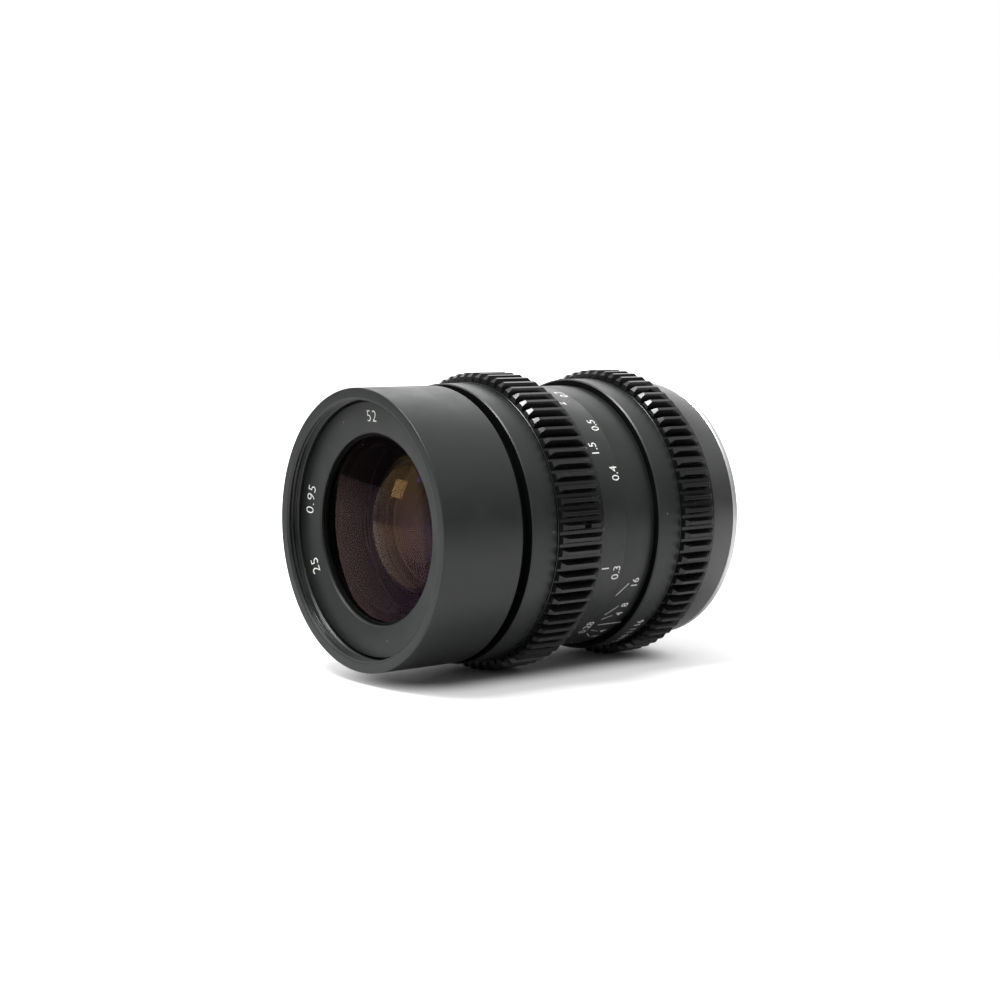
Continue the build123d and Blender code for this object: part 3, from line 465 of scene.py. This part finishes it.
def tooth_outline():
    """One tooth and one gap of a gear ring as (radius, angle) pairs."""
    root_share, tip_share = 0.378, 0.125
    half_root, half_tip = TOOTH_PITCH * root_share, TOOTH_PITCH * tip_share
    flank = [(0.0, 0.0), (0.222, 0.19), (0.555, 0.52), (0.94, 0.93), (0.985, 0.975), (1.0, 1.03)]
    rise = []
    for height, share in flank:
        radius = ROOT_RADIUS + (tip_radius - ROOT_RADIUS) * height
        rise.append((radius, -half_root + (half_root - half_tip) * share))
    fall = [(radius, -angle) for radius, angle in reversed(rise)]
    return [(ROOT_RADIUS, -TOOTH_PITCH / 2)] + rise + fall


def bore(made, station, first):
    """Cuts the three grub screw holes of a gear ring."""
    holes, sides, radius, depth = 3, 24, 0.85 * MM, 6 * MM
    for index in range(holes):
        turn = first + round(index * TEETH / holes) * 2 * pi / TEETH
        cutter = bpy.data.meshes.new("cutter")
        built = bmesh.new()
        bmesh.ops.create_cone(
            built, cap_ends=True, segments=sides, radius1=radius, radius2=radius, depth=depth
        )
        built.to_mesh(cutter)
        built.free()
        tool = bpy.data.objects.new("cutter", cutter)
        scene.collection.objects.link(tool)
        outwards = Vector((cos(turn), 0, sin(turn)))
        tool.rotation_mode = "QUATERNION"
        tool.rotation_quaternion = outwards.to_track_quat("Z", "Y")
        tool.location = point(tip_radius, station, turn)
        cut = made.modifiers.new("cut", "BOOLEAN")
        cut.object = tool
        cut.operation = "DIFFERENCE"
        result = bpy.data.meshes.new_from_object(made.evaluated_get(bpy.context.evaluated_depsgraph_get()))
        made.modifiers.clear()
        old = made.data
        made.data = result
        bpy.data.meshes.remove(old)
        bpy.data.objects.remove(tool)
        bpy.data.meshes.remove(cutter)
    made.data.name = made.name


def gear(name, node, body, rear, front, screw_tooth, phase):
    """A toothed ring with bevelled tooth ends and a thin hub land at each face.

    Teeth are counted from the underside: the first grub screw stands at screw_tooth, and the teeth
    themselves are turned by a phase, which is a share of one tooth.
    """
    outline = tooth_outline()
    placed = []
    for station, inwards, land, (bevel, height) in ((rear, 1, REAR_LAND, REAR_BEVEL),
                                                    (front, -1, FRONT_LAND, FRONT_BEVEL)):
        rows = []
        for radius, depth in ((GEAR_BORE, 0), (HUB_RADIUS - HUB_CHAMFER, 0), (HUB_RADIUS, HUB_CHAMFER),
                              (HUB_RADIUS, land)):
            rows.append([(radius, depth)] * len(outline))
        rows.append([(min(radius, tip_radius - height), land) for radius, _ in outline])
        rows.append([
            (radius, land + bevel * max(0.0, 1 - (tip_radius - radius) / height)) for radius, _ in outline
        ])
        for row in rows if inwards > 0 else reversed(rows):
            places = []
            for tooth in range(TEETH):
                for (radius, depth), (_, angle) in zip(row, outline):
                    turn = UNDERSIDE + TOOTH_PITCH * (tooth + phase) + angle
                    places.append(point(radius, station + inwards * depth, turn))
            placed.append(places)
    made = piece(name, placed, gear_black, body, "gear_black", sharp=30)
    bore(made, (rear + front) / 2, UNDERSIDE + screw_tooth * 2 * pi / TEETH)
    edge_width, edge_angle = 0.05, 24
    edges = made.modifiers.new("edges", "BEVEL")
    edges.width = edge_width * MM
    edges.segments = 2
    edges.limit_method = "ANGLE"
    edges.angle_limit = radians(edge_angle)
    edges.harden_normals = True
    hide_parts(node)


def element(name, node, glass_paint, slot, front, thickness, curves, edge, clear):
    """A lens element between two spherical surfaces, with its edge and its rear land blackened."""
    def fall(curve, radius):
        depth = abs(curve) - (curve * curve - radius * radius) ** 0.5
        return depth if curve > 0 else -depth

    steps, at_edge, on_land = 16, edge * 0.999, 0.01
    rear = front - thickness
    profile = [(edge * i / steps, front - fall(curves[0], edge * i / steps)) for i in range(steps + 1)]
    land = rear - fall(curves[1], clear)
    if clear < edge:
        profile.append((edge, land))
    profile += [(clear * i / steps, rear - fall(curves[1], clear * i / steps)) for i in range(steps, -1, -1)]
    made = lathe(name, profile, glass_paint, "optics", slot, closed=False)
    blacken(made, lambda radius, station, _:
            radius > at_edge or clear < radius and abs(station - land) < on_land)
    made.data.materials.append(inner_glass)
    for face in made.data.polygons:
        if face.material_index == 0 and face.normal.y > 0:
            face.material_index = 2
    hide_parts(node)


def glasses():
    """The four elements in front of the iris, from the name ring down."""
    station = NAME_INNER_FACE
    for number, gap, thickness, curves, edge, clear in (
        (1, 0.47, 2.4, (180, 33), 19.2, 17.0), (2, 7.23, 4.4, (85, -120), 16.5, 16.5),
        (3, 0.4, 3.25, (45, 150), 15.5, 15.5), (4, 0.5, 2.0, (85, 17), 14.5, 12.0),
    ):
        look, slot = (front_glass, "front_glass") if number == 1 else (inner_glass, "inner_glass")
        front = station - gap
        element(f"element_{number}", f"glass_{number}", look, slot, front, thickness, curves, edge, clear)
        station = front - thickness


front_barrel()
name_ring()
glasses()
focus_ring()
scale_ring()
aperture_ring()
rear_barrel()
gear("focus_teeth", "focus_gear", "focus", focus_gear_rear, focus_gear_front, screw_tooth=19, phase=0.0)
gear("aperture_teeth", "aperture_gear", "aperture", aperture_gear_rear, aperture_gear_front,
     screw_tooth=31, phase=0.5)


# Numerals and lines
def letters(name, text, height, place, body, spacing=1.0, stroke=0.0):
    """Plain numerals, laid on a surface by a function of (across, up, proud) in millimetres."""
    curve = bpy.data.curves.new(name, "FONT")
    curve.body = text
    curve.align_x = "CENTER"
    curve.align_y = "CENTER"
    curve.space_character = spacing
    curve.offset = stroke
    curve.resolution_u = 4
    holder = bpy.data.objects.new(name + "_curve", curve)
    scene.collection.objects.link(holder)
    flat = bpy.data.meshes.new_from_object(holder.evaluated_get(bpy.context.evaluated_depsgraph_get()))
    bpy.data.objects.remove(holder)
    ups = [vertex.co.y for vertex in flat.vertices]
    across = [vertex.co.x for vertex in flat.vertices]
    size = height / (max(ups) - min(ups))
    middle = Vector(((max(across) + min(across)) / 2, (max(ups) + min(ups)) / 2, 0))
    for vertex in flat.vertices:
        at = (vertex.co - middle) * size
        vertex.co = place(at.x, at.y, PAINT_HEIGHT)
    flat.name = name
    flat.materials.clear()
    flat.materials.append(white_paint)
    made = bpy.data.objects.new(name, flat)
    scene.collection.objects.link(made)
    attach(made, body)
    return made


def on_cylinder(radius, station, angle):
    """Lays letters on a cylinder, reading round it with their tops towards the front."""
    def place(across, up, proud):
        return point(radius + proud, station + up, radians(angle) + across / radius)
    return place


def on_name_ring(radius, angle):
    """Lays letters on the name ring's cone, reading clockwise with their tops outwards."""
    slope = (NAME_FACE - NAME_INNER_FACE) / (NAME_RADIUS - NAME_LIP)

    def place(across, up, proud):
        here = radius + up
        station = NAME_INNER_FACE + slope * (here - NAME_LIP) + proud
        return point(here, station, radians(angle) - across / radius)
    return place


def line(name, radius, start, end, width, body):
    """A painted line on a cylinder between two (angle, station) places."""
    steps = 8
    run = Vector((radians(end[0] - start[0]) * radius, end[1] - start[1]))
    side = Vector((-run.y, run.x)).normalized() * width / 2
    rows = []
    for step in range(steps + 1):
        here = Vector((radians(start[0]) * radius, start[1])) + run * step / steps
        edges = (here - side, here + side)
        rows.append([point(radius + PAINT_HEIGHT, edge.y, edge.x / radius) for edge in edges])
    return piece(name, rows, white_paint, body, closed=False, round_rows=False)


def key(label):
    """A numeral as it stands in a piece's name."""
    return label.replace(".", "_")


def name_ring_numerals():
    """The filter size, the focal length and the widest stop on the name ring."""
    radius, height, spacing, stroke = 22.4, 2.2, 1.12, -0.012
    for name, text, angle in (("filter_size", "52", 90), ("focal_length", "25", 204),
                              ("widest_stop", "0.95", 168.5)):
        letters(name, text, height, on_name_ring(radius, angle), "barrel", spacing=spacing, stroke=stroke)


def depth_marks():
    """The index line, and a slanted line and a number at each side of it for three stops."""
    index_front, index_width = 29.9, 0.22
    line_front, line_rear, line_width, number_station, number_height = 30.3, 27.9, 0.16, 26.3, 1.7
    line("index_line", scale_radius, (INDEX_ANGLE, scale_rear), (INDEX_ANGLE, index_front), index_width,
         "barrel")
    for stop, start, end, label in (("4", 4.3, 6.3, 6.9), ("8", 7.4, 12.4, 12.6), ("16", 18.8, 24.7, 25.1)):
        for side, word in ((1, "right"), (-1, "left")):
            line(f"depth_line_{stop}_{word}", scale_radius, (INDEX_ANGLE + side * start, line_front),
                 (INDEX_ANGLE + side * end, line_rear), line_width, "barrel")
            letters(f"depth_number_{stop}_{word}", stop, number_height,
                    on_cylinder(scale_radius, number_station, INDEX_ANGLE + side * label), "barrel")


def distance_angle(metres):
    """Where a distance lies on the focus ring, by the law of unit focusing."""
    focal, degrees_a_mm, near_shift, near_angle = 25, 58.5, 2.526, -19.76
    span = metres * 1000 / focal - 2
    ratio = (span + (span * span - 4) ** 0.5) / 2
    return near_angle + (near_shift - focal / ratio) * degrees_a_mm


def distance_scales():
    """The numbers of metres and of feet: those that the photo shows where they stand, the rest by the law."""
    height = 1.85
    for unit, metres_a_unit, station, measured, others in (
        ("metres", 1, 32.5, {"0.28": -52.0, "0.3": -19.8, "0.4": 23.1, "0.5": 47.1},
         ("0.7", "1", "1.5", "3")),
        ("feet", 0.3048, 35.6, {"1": -17.3, "1.5": 35.1, "2": 62.5}, ("3", "5", "10")),
    ):
        turns = dict(measured)
        for label in others:
            turns[label] = distance_angle(float(label) * metres_a_unit)
        for label, turn in turns.items():
            letters(f"{unit}_{key(label)}", label, height, on_cylinder(scale_radius, station, turn), "focus")


def stop_scale():
    """The aperture ring's stop numbers."""
    station, height = 20.0, 1.75
    for stop, turn in (("16", -48.3), ("11", -54.5), ("8", -59.3), ("5.6", -63.9), ("4", -71.3),
                       ("2.8", -81.3), ("2", -94.3), ("1.4", -112.3), ("0.95", -124.3)):
        letters(f"stop_{key(stop)}", stop, height, on_cylinder(collar_radius, station, turn), "aperture")


name_ring_numerals()
depth_marks()
distance_scales()
stop_scale()

# Camera
right = Vector((cos(AZIMUTH), sin(AZIMUTH), 0))
back = Vector((sin(AZIMUTH) * cos(ELEVATION), -cos(AZIMUTH) * cos(ELEVATION), sin(ELEVATION)))
up = back.cross(right)
camera_data = bpy.data.cameras.new("camera")
camera_data.sensor_width = SENSOR
camera_data.sensor_fit = "HORIZONTAL"
camera_data.lens = LENS
camera_data.clip_start = 0.01
camera = bpy.data.objects.new("camera", camera_data)
camera.matrix_world = Matrix.Translation(EYE) @ Matrix((right, up, back)).transposed().to_4x4()
scene.collection.objects.link(camera)
scene.camera = camera
scene.view_settings.view_transform = "Standard"


# Floor, world and lamps, in metres
def floor():
    """A pale floor that keeps the soft shadow, and glows white to the camera away from the lens; near the
    lens the glow fades out, which paints a darker shadow under it.
    """
    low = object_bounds()[0]
    mesh = bpy.data.meshes.new("floor")
    side, near, far = 2.5, -0.8, 2.5
    mesh.from_pydata([(-side, near, low.z), (side, near, low.z), (side, far, low.z), (-side, far, low.z)],
                     [], [(0, 1, 2, 3)])
    made = bpy.data.objects.new("floor", mesh)
    scene.collection.objects.link(made)
    material, shader, add = graph("floor_white")
    place = object_place(add)
    uneven = add("ShaderNodeTexNoise", {"Vector": place, "Scale": 25.0, "Detail": 3.0})
    tone = mapped(add, uneven.outputs["Fac"], after=(0.98, 1.02))
    pale = (0.58, 0.58, 0.58)
    join(shader, "Base Color", toned(add, pale, tone))
    shader.inputs["Roughness"].default_value = 0.6
    shader.inputs["Specular IOR Level"].default_value = 0.2
    # Painted shadow: distance from a strip under the lens, in which what lies behind the strip counts for
    # more; the camera glow is nothing in the strip and rises away from it
    painted_shadow_rear, painted_shadow_front, stretch = -0.014, -0.060, 1.6
    split = add("ShaderNodeSeparateXYZ", {"Vector": place})
    behind = reckoned(add, "SUBTRACT", split.outputs["Y"], painted_shadow_rear)
    stretched = reckoned(add, "MULTIPLY", behind, stretch)
    ahead = reckoned(add, "SUBTRACT", painted_shadow_front, split.outputs["Y"])
    beyond = reckoned(add, "MAXIMUM", reckoned(add, "MAXIMUM", stretched, ahead), 0.0)
    flat = add("ShaderNodeCombineXYZ", {"X": split.outputs["X"], "Y": beyond})
    away = add("ShaderNodeVectorMath", {0: flat.outputs[0]}, operation="LENGTH").outputs["Value"]
    painted_shadow_core_glow = mapped(add, away, (0.008, 0.022), (0.0, 0.4), interpolation_type="SMOOTHSTEP")
    painted_shadow_fade_glow = mapped(add, away, (0.03, 0.25), (0.0, 0.6))
    seen = add("ShaderNodeLightPath", {}).outputs["Is Camera Ray"]
    join(shader, "Emission Strength", reckoned(add, "MULTIPLY", seen, reckoned(add, "ADD", painted_shadow_core_glow, painted_shadow_fade_glow)))
    shader.inputs["Emission Color"].default_value = (1, 1, 1, 1)
    mesh.materials.append(material)
    made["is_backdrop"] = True


def world():
    """White to the camera, and for lighting a room with a bright wall behind the lens and a dark front."""
    made = bpy.data.worlds.new("world")
    scene.world = made
    made.use_nodes = True
    tree = made.node_tree
    background = tree.nodes["Background"]
    add = adder(tree)
    place = add("ShaderNodeTexCoord", {}).outputs["Generated"]
    height = add("ShaderNodeSeparateXYZ", {0: place}).outputs["Z"]
    overhead = mapped(add, height, (0.05, 0.7), (0.13, 0.8), interpolation_type="SMOOTHSTEP")
    wall_direction = (-0.78, 0.62, 0.0)
    wall = add("ShaderNodeVectorMath", {0: place, 1: wall_direction}, operation="DOT_PRODUCT")
    behind = mapped(add, wall.outputs["Value"], (0.35, 0.95), (0.0, 1.5), interpolation_type="SMOOTHSTEP")
    lit = reckoned(add, "MULTIPLY", behind, mapped(add, height, (-0.1, 0.25)))
    room = reckoned(add, "ADD", overhead, lit)
    seen = add("ShaderNodeLightPath", {}).outputs["Is Camera Ray"]
    shown = add("ShaderNodeMix", {"Factor": seen, "A": room, "B": 1.0}, data_type="FLOAT")
    tree.links.new(shown.outputs["Result"], background.inputs["Strength"])
    background.inputs["Color"].default_value = (1, 1, 1, 1)


def lamp(name, place, size, power, mirrored=True):
    """A soft square lamp that points at the lens."""
    aim = Vector((0, -0.04, 0))
    data = bpy.data.lights.new(name, "AREA")
    data.shape = "RECTANGLE"
    data.size = data.size_y = size
    data.energy = power
    made = bpy.data.objects.new(name, data)
    made.location = place
    made.visible_glossy = mirrored
    made.rotation_euler = (aim - Vector(place)).to_track_quat("-Z", "Y").to_euler()
    scene.collection.objects.link(made)


floor()
world()
lamp("key", (-0.02, -0.37, 0.77), 0.3, 8.0)
lamp("side", (-0.35, -0.65, 0.42), 0.25, 1.2, mirrored=False)
lamp("fill", (0.3, -0.2, 0.8), 0.7, 2.5, mirrored=False)
